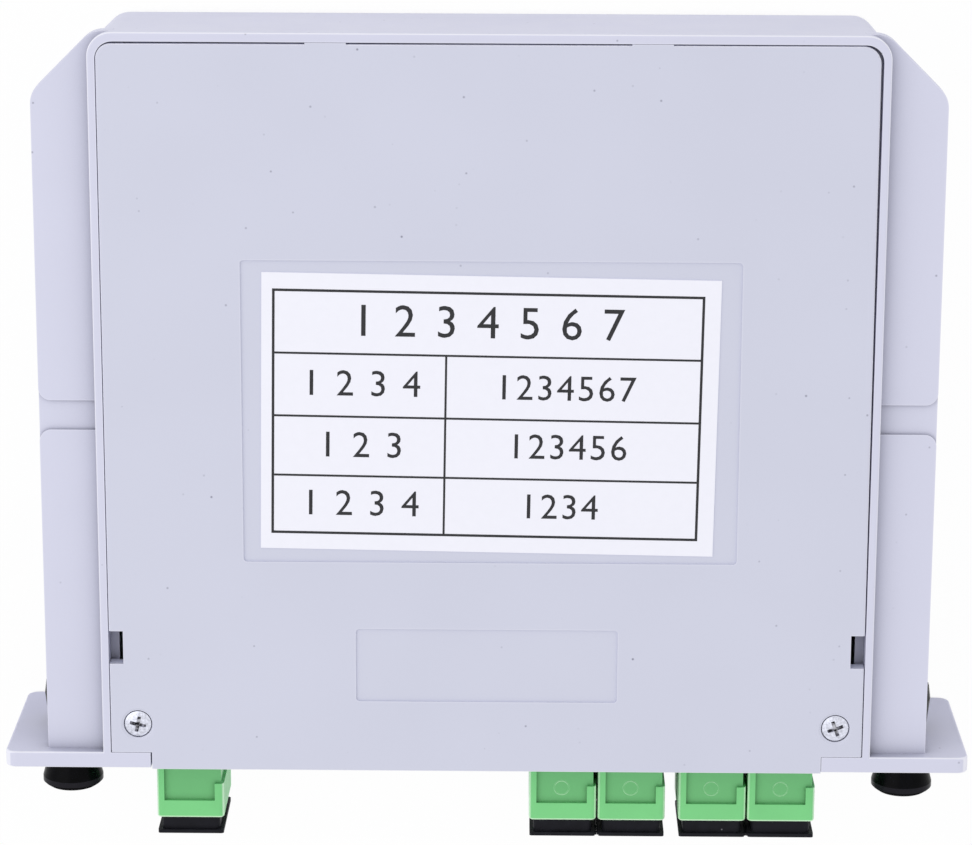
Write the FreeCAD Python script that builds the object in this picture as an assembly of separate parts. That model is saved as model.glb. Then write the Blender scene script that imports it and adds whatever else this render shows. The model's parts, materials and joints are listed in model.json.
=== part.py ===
import FreeCAD, Part
import math
import os
from FreeCAD import Vector

# Plug-in cassette that splits one optical fibre into four, in millimetres.
# It lies on its underside with the cover up. X runs along the front panel, Y from
# the panel to the rear wall, Z up to the cover. The origin is at the middle of the
# underside, half way between the panel's front face and the rear wall.

# Housing
panel_width = 130.0
housing_height = 25.0
housing_depth = 100.0
ear_width = 13.3
panel_thickness = 2.2
panel_corner = 1.5
panel_edge_radius = 0.3
side_wall = 2.2
rear_wall = 2.4
floor_thickness = 2.0
rim_width = 1.05
rear_rim_width = 1.2
rebate_corner = 2.3
rear_lean = 1.0
rear_corner = 3.2
bottom_edge_radius = 0.8
top_edge_radius = 0.3

# Guide rails along both sides
rail_inset = 5.7
rail_thickness = 2.2
rail_drop = 1.8
rail_chamfer = 8.1
rail_corner = 3.5
rail_channel_length = 4.0
rail_channel_centre = -1.2
rail_channel_depth = 0.4
rail_pad_corner = 1.6
rail_end_inset = 0.1

# Cover
cover_thickness = 2.0
cover_panel_gap = 0.06
cover_left_gap = 0.07
cover_right_gap_front = 0.09
cover_right_gap_rear = 0.36
cover_rear_gap_left = 0.27
cover_rear_gap_right = 0.17
cover_corner_left = 1.95
cover_corner_right = 2.3
tongue_inset = 6.6
tongue_proud = 0.2
tongue_gap = 0.06
window_length = 4.6
window_depth = 1.9
window_setback = 17.1
window_drop = 1.2
window_ledge = 0.2
tab_spacing = 42.0
tab_width = 5.3
tab_gap = 0.05
hook_height = 1.9
hook_reach = 0.6
hook_root = 2.0
hook_gap = 0.2
recess_depth = 0.25
recess_corner = 0.5
label_recess_width = 65.5
label_recess_length = 41.0
label_recess_x = 0.4
label_recess_y = -0.25
lower_recess_width = 35.0
lower_recess_length = 10.2
lower_recess_setback = 14.85

# Label
label_side_margin = 2.75
label_end_margin = 1.75
label_thickness = 0.15
label_shift_x = -0.2
label_shift_y = -0.25
label_turn = -0.8

# Cover screws and their bosses
screw_inset = 4.78
screw_setback = 6.25
screw_head_radius = 1.77
screw_head_height = 0.95
screw_crown = 0.35
screw_tip_radius = 0.4
screw_shank_radius = 1.0
screw_length = 7.0
screw_clearance = 0.05
pilot_spare = 0.5
screw_recess_depth = 0.9
screw_recess_radius = 1.93
screw_recess_rim = 0.35
screw_recess_slope = 0.18
cross_width = 0.48
cross_length = 2.2
cross_depth = 0.75
cross_turn_left = -12.0
cross_turn_right = 20.0
boss_radius = 2.6

# Ports
input_port_inset = 11.1
pair_inset = 26.3
pair_spacing = 20.5
pair_pitch = 9.45

# Push-pull adapters
adapter_width = 9.2
adapter_height = 12.8
adapter_reach = 9.45
adapter_clearance = 0.1
adapter_edge_radius = 0.7
adapter_mouth_radius = 0.34
flange_share = 0.5
flange_thickness = 2.0
flange_gap = 0.1
locating_rail = 1.1
rear_rail = 2.0
rail_embed = 0.5
rib_end_gap = 0.5
socket_width = 7.5
socket_height = 9.1
key_slot_width = 2.8
key_slot_length = 5.0
clip_recess_depth = 0.5
clip_recess_width = 6.9
clip_recess_offset = -0.12
clip_recess_end = 2.5
clip_notch_end = 4.95
clip_side_depth = 0.4
clip_side_height = 9.4

# Sleeve holders, sleeves and ferrules
holder_plate_width = 8.1
holder_plate_height = 10.1
holder_fit = 0.04
holder_tube_radius = 2.2
sleeve_outer_radius = 1.6
sleeve_inner_radius = 1.25
sleeve_length = 11.4
sleeve_slot = 0.5
sleeve_fit = 0.05
holder_lip = 0.45
holder_lip_radius = 1.35
latch_width = 4.0
latch_thickness = 0.8
latch_length = 7.4
latch_hook = 0.5
latch_hook_length = 1.0
latch_gap = 0.3
ferrule_fit = 0.005
ferrule_length = 11.0
ferrule_angle = 8.0

# Dust caps
cap_plate_width = 9.0
cap_plate_thickness = 0.5
cap_plate_corner = 0.35
cap_reach = 2.25
cap_neck_width = 8.0
cap_neck_height = 11.8
cap_insert_length = 5.0
cap_insert_gap = 0.1
cap_wall = 0.8

# Inner connectors
plug_length = 25.0
plug_setback = 1.2
plug_gap = 0.15
plug_tube_gap = 0.3
plug_edge = 0.5
grip_depth = 0.6
grip_length = 7.0
grip_end = 2.5
boot_length = 19.0
boot_front_radius = 2.6
boot_end_radius = 1.2

# Splitter module and its fibres
module_section = 4.0
module_setback = 28.0
module_gap_left = 0.5
module_gap_right = 4.5
module_chamfer = 0.3
module_boot_length = 3.0
module_boot_section = 3.6
module_boot_end = 2.6
cradle_wall = 1.2
cradle_length = 5.0
cradle_height = 5.0
cradle_gap = 0.1
cradle_share = 0.6
fibre_diameter = 0.9
fibre_pitch = 0.9
output_bend = 12.5
input_bend = 15.0
output_track_setback = 12.0
output_turn_inset = 19.7
output_track_pitch = 1.5
input_track_setback = 5.0
input_turn_inset = 5.2
track_height = 8.0
guide_wall = 1.2
guide_gap = 0.6
guide_height = 12.0

# Push rivets in the ears
ear_hole_radius = 3.0
rivet_inset = 7.6
rivet_fit = 0.1
grommet_flange_radius = 3.8
grommet_flange = 1.2
grommet_edge = 0.4
grommet_bore_radius = 1.5
petal_start_radius = 3.1
petal_radius = 3.6
petal_shoulder_radius = 3.35
petal_tip_radius = 2.5
petal_tip_bore = 1.05
petal_neck = 0.2
petal_slot_start = 1.0
petal_rise = 4.4
petal_shoulder = 6.3
petal_length = 6.9
petal_slot = 0.8
plunger_fit = 0.08
plunger_length = 6.8
knob_radius = 4.15
knob_stem_radius = 2.9
knob_flare = 4.2
knob_rim = 1.0
knob_edge = 0.3
knob_dome = 0.85
knob_crown_radius = 1.87
knob_shoulder_radius = 3.32
knob_shoulder = 0.38
knob_waist = 1.9
knob_waist_radius = 3.6
pin_taper = 0.85
pin_tip_radius = 0.7

# How far pieces of one solid run into each other before they are joined
overlap = 0.2

# Places worked out from the sizes above
front_y = -housing_depth / 2
rear_y = housing_depth / 2
panel_rear_y = front_y + panel_thickness
body_half = panel_width / 2 - ear_width
rail_half = panel_width / 2 - rail_inset
rivet_x = panel_width / 2 - rivet_inset
ledge_z = housing_height - cover_thickness
port_height = housing_height / 2
input_port_x = input_port_inset - body_half
pair_centre = body_half - pair_inset
rail_top = housing_height - rail_drop
rebate_half = body_half - rim_width
rebate_rear_y = rear_y - rear_rim_width
cover_half = rebate_half - cover_left_gap
cover_rear_y = rebate_rear_y - cover_rear_gap_left
tongue_half = body_half - tongue_inset
window_y = front_y + window_setback
lower_recess_y = front_y + lower_recess_setback
label_width = label_recess_width - 2 * label_side_margin
label_length = label_recess_length - 2 * label_end_margin
label_x = label_recess_x + label_shift_x
label_y = label_recess_y + label_shift_y
screw_x = body_half - screw_inset
screw_y = front_y + screw_setback
boss_inner_x = screw_x - boss_radius
flange_front_y = panel_rear_y + locating_rail + flange_gap
adapter_middle_y = flange_front_y + flange_thickness / 2
flange_rear_y = flange_front_y + flange_thickness
rear_rail_y = flange_rear_y + flange_gap
mouth_y = front_y - adapter_reach
bay_half = adapter_width / 2 + adapter_clearance
bay_bottom = port_height - adapter_height / 2 - adapter_clearance
bay_top = port_height + adapter_height / 2 + adapter_clearance
flange_height = adapter_height + 2 * flange_share * (ledge_z - bay_top)
cap_front_y = mouth_y - cap_reach
plug_front_y = flange_rear_y + plug_setback
plug_rear_y = plug_front_y + plug_length
boot_rear_y = plug_rear_y + boot_length
output_track_y = rear_y - output_track_setback
input_track_y = rear_y - input_track_setback
output_turn_x = output_turn_inset - body_half
input_turn_x = body_half - input_turn_inset
module_left_x = output_turn_x + output_bend + module_gap_left
module_right_x = input_turn_x - input_bend - module_gap_right
module_x = (module_left_x + module_right_x) / 2
module_y = output_track_y - module_setback
module_z = floor_thickness + module_section / 2
module_length = module_right_x - module_left_x - 2 * module_boot_length


def pair_centres():
    # the two pairs of output ports, left then right
    return [pair_centre - pair_spacing / 2, pair_centre + pair_spacing / 2]


def port_places():
    # name and X of each port, the input first
    places = {"input": input_port_x}
    number = 0
    for centre in pair_centres():
        for side in (-1, 1):
            number += 1
            places["output_%d" % number] = centre + side * pair_pitch / 2
    return places


def box(x0, x1, y0, y1, z0, z1):
    return Part.makeBox(x1 - x0, y1 - y0, z1 - z0, Vector(x0, y0, z0))


def block(width, height, y0, y1):
    # a box centred on the Y axis
    return box(-width / 2, width / 2, y0, y1, -height / 2, height / 2)


def rounded_wire(points, radii):
    # a closed outline through the points, each corner rounded by its own radius
    edges = []
    last = None
    first = None
    count = len(points)
    for index in range(count):
        corner = points[index]
        start = corner
        end = corner
        if radii[index] > 0:
            back = (points[index - 1] - corner).normalize()
            ahead = (points[(index + 1) % count] - corner).normalize()
            half_angle = back.getAngle(ahead) / 2
            reach = radii[index] / math.tan(half_angle)
            start = corner + back * reach
            end = corner + ahead * reach
            inward = (back + ahead).normalize()
            middle = corner + inward * (radii[index] / math.sin(half_angle) - radii[index])
        if last is None:
            first = start
        else:
            edges.append(Part.LineSegment(last, start).toShape())
        if radii[index] > 0:
            edges.append(Part.Arc(start, middle, end).toShape())
        last = end
    edges.append(Part.LineSegment(last, first).toShape())
    return Part.Wire(edges)


def plate(points, radii, z0, z1):
    # an outline in X and Y, given as pairs, raised from z0 to z1
    wire = rounded_wire([Vector(x, y, z0) for x, y in points], radii)
    return Part.Face(wire).extrude(Vector(0, 0, z1 - z0))


def rounded_plate(x0, x1, y0, y1, z0, z1, radius):
    corners = [(x0, y0), (x1, y0), (x1, y1), (x0, y1)]
    return plate(corners, [radius] * 4, z0, z1)


def rounded_bar(width, height, y0, y1, radius):
    # a rectangular bar along Y, centred on it, with its long edges rounded
    x = width / 2
    z = height / 2
    corners = [Vector(-x, y0, -z), Vector(x, y0, -z), Vector(x, y0, z), Vector(-x, y0, z)]
    wire = rounded_wire(corners, [radius] * 4)
    return Part.Face(wire).extrude(Vector(0, y1 - y0, 0))


def turned(profile, x, z):
    # a profile of (y, radius) pairs, from the axis back to the axis, spun about the
    # line along Y through x and z
    points = [Vector(x + radius, y, z) for y, radius in profile]
    face = Part.Face(Part.makePolygon(points + points[:1]))
    return face.revolve(Vector(x, 0, z), Vector(0, 1, 0), 360)


def bar_along_y(radius, y0, y1, x=0.0, z=0.0):
    return Part.makeCylinder(radius, y1 - y0, Vector(x, y0, z), Vector(0, 1, 0))


def round_edges(solid, radius, chosen):
    edges = [edge for edge in solid.Edges if chosen(edge)]
    return solid.makeFillet(radius, edges)


def lies_at(edge, axis, value):
    # whether the whole edge lies in the plane where the axis has the value
    places = [getattr(vertex.Point, axis) for vertex in edge.Vertexes]
    places.append(getattr(edge.CenterOfMass, axis))
    return all(abs(place - value) < 1e-4 for place in places)


def joined(first, others):
    # one solid with the seams between coplanar faces taken out
    return first.fuse(others).removeSplitter()


def mirrored(solid):
    return solid.mirror(Vector(0, 0, 0), Vector(1, 0, 0))


def body_shell():
    # the outer form of the tray behind the panel, with a rear wall that leans in
    # towards the bottom
    start = panel_rear_y - panel_thickness / 2
    profile = [
        Vector(-body_half, start, 0),
        Vector(-body_half, rear_y - rear_lean, 0),
        Vector(-body_half, rear_y, housing_height),
        Vector(-body_half, start, housing_height),
    ]
    side = Part.Face(Part.makePolygon(profile + profile[:1]))
    shell = side.extrude(Vector(2 * body_half, 0, 0))

    def rear_corners(edge):
        upright = abs(edge.BoundBox.ZLength - housing_height) < 1e-4
        return upright and edge.CenterOfMass.y > 0

    def top_rim(edge):
        return lies_at(edge, "z", housing_height) and edge.CenterOfMass.y > start + 1e-4

    def bottom_rim(edge):
        return lies_at(edge, "z", 0) and edge.CenterOfMass.y > start + 1e-4

    shell = round_edges(shell, rear_corner, rear_corners)
    shell = round_edges(shell, top_edge_radius, top_rim)
    return round_edges(shell, bottom_edge_radius, bottom_rim)


def front_panel():
    # the panel with its two ears, its edges eased and a hole in each ear
    half = panel_width / 2
    corners = [
        Vector(-half, front_y, 0),
        Vector(half, front_y, 0),
        Vector(half, front_y, housing_height),
        Vector(-half, front_y, housing_height),
    ]
    face = Part.Face(rounded_wire(corners, [panel_corner] * 4))
    panel = face.extrude(Vector(0, panel_thickness, 0))

    def rim(edge):
        return lies_at(edge, "y", front_y) or lies_at(edge, "y", panel_rear_y)

    panel = round_edges(panel, panel_edge_radius, rim)
    holes = []
    for side in (-1, 1):
        x = side * rivet_x
        holes.append(bar_along_y(ear_hole_radius, front_y - 1, panel_rear_y + 1, x, port_height))
    return panel.cut(holes)


def guide_rail():
    # the right-hand rail: a thin plate with two pads that leave a shallow channel
    inner = body_half - rear_corner
    outer = rail_half
    top = rail_top
    pad_base = top - rail_channel_depth
    channel_front = rail_channel_centre - rail_channel_length / 2
    channel_rear = rail_channel_centre + rail_channel_length / 2
    start = panel_rear_y - panel_thickness / 2
    end = rear_y - rail_end_inset
    outline = [
        (inner, start),
        (outer, start),
        (outer, end - rail_chamfer),
        (outer - rail_chamfer, end),
        (inner, end),
    ]
    web = plate(outline, [0, 0, rail_corner, rail_corner, 0], top - rail_thickness, pad_base)
    front_outline = [(inner, start), (outer, start), (outer, channel_front), (inner, channel_front)]
    front_pad = plate(front_outline, [0, 0, rail_pad_corner, 0], pad_base, top)
    rear_outline = [(inner, channel_rear), (outer, channel_rear)] + outline[2:]
    radii = [0, rail_pad_corner, rail_corner, rail_corner, 0]
    rear_pad = plate(rear_outline, radii, pad_base, top)
    return joined(web, [front_pad, rear_pad])


def bays():
    # the X spans of the slots for the ports: one for the input, one for each pair of outputs
    spans = [(input_port_x - bay_half, input_port_x + bay_half)]
    for centre in pair_centres():
        reach = pair_pitch / 2 + bay_half
        spans.append((centre - reach, centre + reach))
    return spans


def screw_boss(side):
    x = side * screw_x
    base = floor_thickness / 2
    return Part.makeCylinder(boss_radius, ledge_z - base, Vector(x, screw_y, base))


def screw_pilot(side):
    x = side * screw_x
    radius = screw_shank_radius + screw_clearance
    depth = screw_length + pilot_spare
    return Part.makeCylinder(radius, depth, Vector(x, screw_y, ledge_z - depth))


def hook_pocket(side):
    # the pocket under the rear rim that takes a hook of the cover
    x = side * tab_spacing / 2
    half = tab_width / 2 + hook_gap
    inner = rear_y - rear_wall - overlap
    outer = rebate_rear_y + hook_reach - hook_gap
    return box(x - half, x + half, inner, outer, ledge_z - hook_height - hook_gap, ledge_z)


def window_pocket(side):
    # the wall's ledge is lower behind a window, so that a blade gets under the cover
    outer = side * rebate_half
    inner = side * (body_half - side_wall - overlap)
    half = window_length / 2 + window_ledge
    return box(min(outer, inner), max(outer, inner), window_y - half, window_y + half,
               ledge_z - window_drop, ledge_z + overlap)


def module_cradle(x):
    # two low walls that hold the module on the floor
    inner = module_section / 2 + cradle_gap
    walls = []
    for side in (-1, 1):
        near = module_y + side * inner
        far = module_y + side * (inner + cradle_wall)
        low = min(near, far)
        high = max(near, far)
        walls.append(box(x - cradle_length / 2, x + cradle_length / 2, low, high,
                         floor_thickness / 2, floor_thickness + cradle_height))
    return walls


def guide_arc(x, y, radius, start_angle, sweep):
    # a curved wall on the floor that keeps the fibres from bending too tightly
    base = Vector(x, y, floor_thickness / 2)
    height = guide_height + floor_thickness / 2
    up = Vector(0, 0, 1)
    outer = Part.makeCylinder(radius, height, base, up, sweep)
    inner = Part.makeCylinder(radius - guide_wall, height, base, up, sweep)
    wall = outer.cut(inner)
    wall.rotate(base, up, start_angle)
    return wall


def fibre_guides():
    inner_radius = output_bend - fibre_diameter / 2 - guide_gap
    turn_low = module_y + 1.5 * fibre_pitch
    left_x = output_turn_x + output_bend
    left_y = (output_track_y + turn_low) / 2
    first_output = port_places()["output_1"]
    right_x = first_output - output_bend
    right_y = output_track_y - output_bend
    return [guide_arc(left_x, left_y, inner_radius, 90, 180),
            guide_arc(right_x, right_y, inner_radius, 0, 90)]


def housing_base():
    # the moulded tray with its panel, rails, bays, bosses and fibre guides
    rail = guide_rail()
    tray = joined(body_shell(), [front_panel(), rail, mirrored(rail)])

    inner_half = body_half - side_wall
    cavity = rounded_plate(-inner_half, inner_half, panel_rear_y, rear_y - rear_wall,
                           floor_thickness, housing_height + 1, rear_corner - side_wall)
    top = housing_height + 1
    half = rebate_half
    corners = [(-half, panel_rear_y), (half, panel_rear_y), (half, rebate_rear_y), (-half, rebate_rear_y)]
    rebate = plate(corners, [0, 0, rebate_corner, rebate_corner], ledge_z, top)
    lip_cut = box(-tongue_half - tongue_gap, tongue_half + tongue_gap, front_y - 1, panel_rear_y + 1,
                  bay_top - tongue_gap, top)
    tray = tray.cut([cavity, rebate, lip_cut])

    rail_top_z = bay_top - tongue_gap
    front_rail = box(-boss_inner_x, boss_inner_x, panel_rear_y - rail_embed, panel_rear_y + locating_rail,
                     floor_thickness / 2, rail_top_z)
    back_half = boss_inner_x + rail_embed
    back_rail = box(-back_half, back_half, rear_rail_y, rear_rail_y + rear_rail,
                    floor_thickness / 2, rail_top_z)
    inner_parts = [front_rail, back_rail, screw_boss(-1), screw_boss(1)]
    for side in (-1, 1):
        inner_parts += module_cradle(module_x + side * module_length * cradle_share / 2)
    inner_parts += fibre_guides()
    tray = joined(tray, inner_parts)

    cuts = [screw_pilot(-1), screw_pilot(1), hook_pocket(-1), hook_pocket(1)]
    cuts += [window_pocket(-1), window_pocket(1)]
    flange_bottom = port_height - flange_height / 2 - adapter_clearance
    for low, high in bays():
        cuts.append(box(low, high, front_y - 1, rear_rail_y + rear_rail + 1, bay_bottom, top))
        cuts.append(box(low, high, flange_front_y - flange_gap, rear_rail_y, flange_bottom, top))
    return tray.cut(cuts)


def cover_hook(side):
    # a tab that closes the rear gap, with a tongue under the rear rim
    x = side * tab_spacing / 2
    half = tab_width / 2
    root_y = rear_y - rear_wall - hook_root
    tip_y = rebate_rear_y + hook_reach - 2 * hook_gap
    tab = box(x - half, x + half, cover_rear_y - 1, rebate_rear_y - tab_gap, ledge_z, housing_height)
    tongue = box(x - half, x + half, root_y, tip_y, ledge_z - hook_height, ledge_z - hook_gap / 2)
    neck = box(x - half, x + half, root_y, cover_rear_y, ledge_z - hook_gap, ledge_z)
    return [tab, tongue, neck]


def cover_window(side):
    # the small opening at the cover's edge where it is prised up
    edge = side * cover_half
    inner = side * (cover_half - window_depth)
    low = min(edge + side, inner)
    high = max(edge + side, inner)
    return box(low, high, window_y - window_length / 2, window_y + window_length / 2,
               ledge_z - 1, housing_height + 1)


def screw_seat(side):
    # the hole, the head's recess and the shallow slope round it
    x = side * screw_x
    hole_radius = screw_shank_radius + 2 * screw_clearance
    hole = Part.makeCylinder(hole_radius, cover_thickness + 2, Vector(x, screw_y, ledge_z - 1))
    recess = Part.makeCylinder(screw_recess_radius, screw_recess_depth + 1,
                               Vector(x, screw_y, housing_height - screw_recess_depth))
    slope = Part.makeCone(screw_recess_radius, screw_recess_radius + 2 * screw_recess_rim,
                          2 * screw_recess_slope, Vector(x, screw_y, housing_height - screw_recess_slope))
    return [hole, recess, slope]


def cover():
    # the lid, with a lip that closes the panel over the adapters; its right and rear
    # edges run a little askew in the rebate
    tongue_front = front_y - tongue_proud
    side_front = panel_rear_y + cover_panel_gap
    right_front = rebate_half - cover_right_gap_front
    right_rear = rebate_half - cover_right_gap_rear
    right_rear_y = rebate_rear_y - cover_rear_gap_right
    outline = [
        (-tongue_half, tongue_front),
        (tongue_half, tongue_front),
        (tongue_half, side_front),
        (right_front, side_front),
        (right_rear, right_rear_y),
        (-cover_half, cover_rear_y),
        (-cover_half, side_front),
        (-tongue_half, side_front),
    ]
    radii = [0, 0, 0, 0, cover_corner_right, cover_corner_left, 0, 0]
    lid = plate(outline, radii, ledge_z, housing_height)

    def outer_rim(edge):
        centre = edge.CenterOfMass
        on_top = lies_at(edge, "z", housing_height)
        outside = abs(centre.x) > tongue_half + 4 or centre.y > 0
        return on_top and outside and not lies_at(edge, "y", side_front)

    def front_edge(edge):
        return lies_at(edge, "z", housing_height) and lies_at(edge, "y", tongue_front)

    lid = round_edges(lid, top_edge_radius, outer_rim)
    lid = round_edges(lid, panel_edge_radius, front_edge)

    lip = box(-tongue_half, tongue_half, tongue_front, panel_rear_y + locating_rail, bay_top, ledge_z)
    rib_half = boss_inner_x - rib_end_gap
    rib = box(-rib_half, rib_half, rear_rail_y, rear_rail_y + rear_rail, bay_top, ledge_z)
    lid = joined(lid, [lip, rib] + cover_hook(-1) + cover_hook(1))

    floor_z = housing_height - recess_depth
    top = housing_height + 1
    label_recess = rounded_plate(label_recess_x - label_recess_width / 2,
                                 label_recess_x + label_recess_width / 2,
                                 label_recess_y - label_recess_length / 2,
                                 label_recess_y + label_recess_length / 2,
                                 floor_z, top, recess_corner)
    lower_recess = rounded_plate(-lower_recess_width / 2, lower_recess_width / 2,
                                 lower_recess_y - lower_recess_length / 2,
                                 lower_recess_y + lower_recess_length / 2,
                                 floor_z, top, recess_corner)
    cuts = [label_recess, lower_recess, cover_window(-1), cover_window(1)]
    return lid.cut(cuts + screw_seat(-1) + screw_seat(1))


def label():
    # the paper label, stuck a little askew on the floor of its recess
    low = housing_height - recess_depth
    sheet = box(-label_width / 2, label_width / 2, -label_length / 2, label_length / 2,
                low, low + label_thickness)
    sheet.rotate(Vector(0, 0, 0), Vector(0, 0, 1), label_turn)
    sheet.translate(Vector(label_x, label_y, 0))
    return sheet


def cover_screw(side):
    # a pan head screw with a domed head and a cross recess
    seat_z = housing_height - screw_recess_depth
    head_top = seat_z + screw_head_height
    tip_z = seat_z - screw_length
    profile = [
        Vector(0, 0, tip_z),
        Vector(screw_tip_radius, 0, tip_z),
        Vector(screw_shank_radius, 0, tip_z + screw_shank_radius),
        Vector(screw_shank_radius, 0, seat_z),
        Vector(screw_head_radius, 0, seat_z),
        Vector(screw_head_radius, 0, head_top - screw_crown),
    ]
    sphere_radius = (screw_head_radius ** 2 + screw_crown ** 2) / (2 * screw_crown)
    half_x = screw_head_radius / 2
    half_z = head_top - sphere_radius + math.sqrt(sphere_radius ** 2 - half_x ** 2)
    top = Vector(0, 0, head_top)
    dome = Part.Arc(profile[-1], Vector(half_x, 0, half_z), top).toShape()
    axis = Part.LineSegment(top, profile[0]).toShape()
    face = Part.Face(Part.Wire(Part.makePolygon(profile).Edges + [dome, axis]))
    screw = face.revolve(Vector(0, 0, 0), Vector(0, 0, 1), 360)
    slots = []
    for width, length in ((cross_width, cross_length), (cross_length, cross_width)):
        slots.append(box(-width / 2, width / 2, -length / 2, length / 2,
                         head_top - cross_depth, head_top + 1))
    screw = screw.cut(slots)
    turn = cross_turn_left if side < 0 else cross_turn_right
    screw.rotate(Vector(0, 0, 0), Vector(0, 0, 1), turn)
    screw.translate(Vector(side * screw_x, screw_y, 0))
    return screw


def clip_recesses():
    # the pockets for a spring clip in the top and bottom faces, each open to one side
    left = clip_recess_offset - clip_recess_width / 2
    right = clip_recess_offset + clip_recess_width / 2
    edge = adapter_width / 2
    top = adapter_height / 2
    end_y = mouth_y + clip_recess_end
    notch_y = mouth_y + clip_notch_end
    inner_y = flange_front_y
    pocket = box(left, right, end_y, inner_y, top - clip_recess_depth, top + 1)
    notch = box(right - overlap, edge + 1, notch_y, inner_y, top - clip_recess_depth, top + 1)
    side = box(edge - clip_side_depth, edge + 1, notch_y, inner_y, top - clip_side_height, top + 1)
    recess = pocket.fuse([notch, side])
    opposite = recess.copy()
    opposite.rotate(Vector(0, 0, 0), Vector(0, 1, 0), 180)
    return [recess, opposite]


def adapter_front():
    # the outer half of an adapter, from its mouth to the middle of its flange
    shell = rounded_bar(adapter_width, adapter_height, mouth_y, adapter_middle_y, adapter_edge_radius)
    shell = round_edges(shell, adapter_mouth_radius, lambda edge: lies_at(edge, "y", mouth_y))
    flange = rounded_bar(adapter_width, flange_height, flange_front_y, adapter_middle_y, adapter_edge_radius)
    shell = joined(shell, [flange])
    socket = block(socket_width, socket_height, mouth_y - 1, adapter_middle_y + 1)
    seat = block(holder_plate_width + 2 * holder_fit, holder_plate_height + 2 * holder_fit,
                 flange_front_y, adapter_middle_y + 1)
    key_slot = box(-adapter_width / 2 - 1, 0, mouth_y - 1, mouth_y + key_slot_length,
                   -key_slot_width / 2, key_slot_width / 2)
    return shell.cut([socket, seat, key_slot] + clip_recesses())


def adapter_rear():
    # the inner half of an adapter: the same moulding, turned about the key's direction
    half = adapter_front()
    half.rotate(Vector(0, adapter_middle_y, 0), Vector(1, 0, 0), 180)
    return half


def latch(side, direction):
    # one spring arm of a sleeve holder, with a hook at its end: on the upper or lower
    # side, pointing out of the socket or into the housing
    low = socket_height / 2 - latch_gap - latch_thickness
    high = socket_height / 2 - latch_gap
    root = adapter_middle_y + direction * (flange_thickness / 2 - holder_fit - overlap)
    tip = adapter_middle_y + direction * (flange_thickness / 2 + latch_length)
    hook_start = tip - direction * latch_hook_length
    arm = box(-latch_width / 2, latch_width / 2, min(root, tip), max(root, tip), low, high)
    hook = box(-latch_width / 2, latch_width / 2, min(hook_start, tip), max(hook_start, tip),
               low - latch_hook, low + overlap)
    both = [arm, hook]
    if side < 0:
        both = [part.mirror(Vector(0, 0, 0), Vector(0, 0, 1)) for part in both]
    return both


def sleeve_holder():
    # the plate, tube and latches held between the two adapter halves
    half = flange_thickness / 2 - holder_fit
    plate_part = block(holder_plate_width, holder_plate_height,
                       adapter_middle_y - half, adapter_middle_y + half)
    reach = sleeve_length / 2 + sleeve_fit + holder_lip
    tube = bar_along_y(holder_tube_radius, adapter_middle_y - reach, adapter_middle_y + reach)
    arms = []
    for direction in (-1, 1):
        for side in (-1, 1):
            arms += latch(side, direction)
    holder = joined(plate_part, [tube] + arms)
    chamber = sleeve_length / 2 + sleeve_fit
    bore = bar_along_y(sleeve_outer_radius + sleeve_fit,
                       adapter_middle_y - chamber, adapter_middle_y + chamber)
    through = bar_along_y(holder_lip_radius, adapter_middle_y - reach - 1, adapter_middle_y + reach + 1)
    return holder.cut([bore, through])


def sleeve():
    # the split ceramic sleeve that lines up two ferrules
    low = adapter_middle_y - sleeve_length / 2
    high = adapter_middle_y + sleeve_length / 2
    tube = bar_along_y(sleeve_outer_radius, low, high)
    bore = bar_along_y(sleeve_inner_radius, low - 1, high + 1)
    slot = box(-sleeve_slot / 2, sleeve_slot / 2, low - 1, high + 1, -sleeve_outer_radius - 1, 0)
    return tube.cut([bore, slot])


def ferrule():
    # the inner connector's ferrule, its tip ground at an angle at the sleeve's middle
    radius = sleeve_inner_radius - ferrule_fit
    rod = bar_along_y(radius, adapter_middle_y, adapter_middle_y + ferrule_length)
    slope = radius * math.tan(math.radians(ferrule_angle))
    wedge = [
        Vector(-radius - 1, adapter_middle_y - 1, -radius - 1),
        Vector(-radius - 1, adapter_middle_y, -radius - 1),
        Vector(-radius - 1, adapter_middle_y, -radius),
        Vector(-radius - 1, adapter_middle_y + 2 * slope, radius),
        Vector(-radius - 1, adapter_middle_y + 2 * slope, radius + 1),
        Vector(-radius - 1, adapter_middle_y - 1, radius + 1),
    ]
    tool = Part.Face(Part.makePolygon(wedge + wedge[:1])).extrude(Vector(2 * radius + 2, 0, 0))
    return rod.cut(tool)


def plug():
    # the inner connector's grip, cut away for the holder's latches and tube
    width = socket_width - 2 * plug_gap
    height = socket_height - 2 * plug_gap
    grip = rounded_bar(width, height, plug_front_y, plug_rear_y, plug_edge)
    cuts = []
    arm_end = flange_rear_y + latch_length + plug_gap
    arm_low = socket_height / 2 - latch_gap - latch_thickness - latch_hook - plug_gap
    arm_half = latch_width / 2 + plug_gap
    for side in (-1, 1):
        low = min(side * arm_low, side * height)
        high = max(side * arm_low, side * height)
        cuts.append(box(-arm_half, arm_half, plug_front_y - 1, arm_end, low, high))
        near = min(side * (width / 2 - grip_depth), side * width)
        far = max(side * (width / 2 - grip_depth), side * width)
        grip_start = plug_rear_y - grip_end - grip_length
        cuts.append(box(near, far, grip_start, grip_start + grip_length, -height, height))
    tube_end = adapter_middle_y + sleeve_length / 2 + sleeve_fit + holder_lip + plug_tube_gap
    cuts.append(bar_along_y(holder_tube_radius + plug_tube_gap, plug_front_y - 1, tube_end))
    ferrule_end = adapter_middle_y + ferrule_length
    cuts.append(bar_along_y(sleeve_inner_radius + ferrule_fit, plug_front_y - 1, ferrule_end))
    return grip.cut(cuts)


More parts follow.
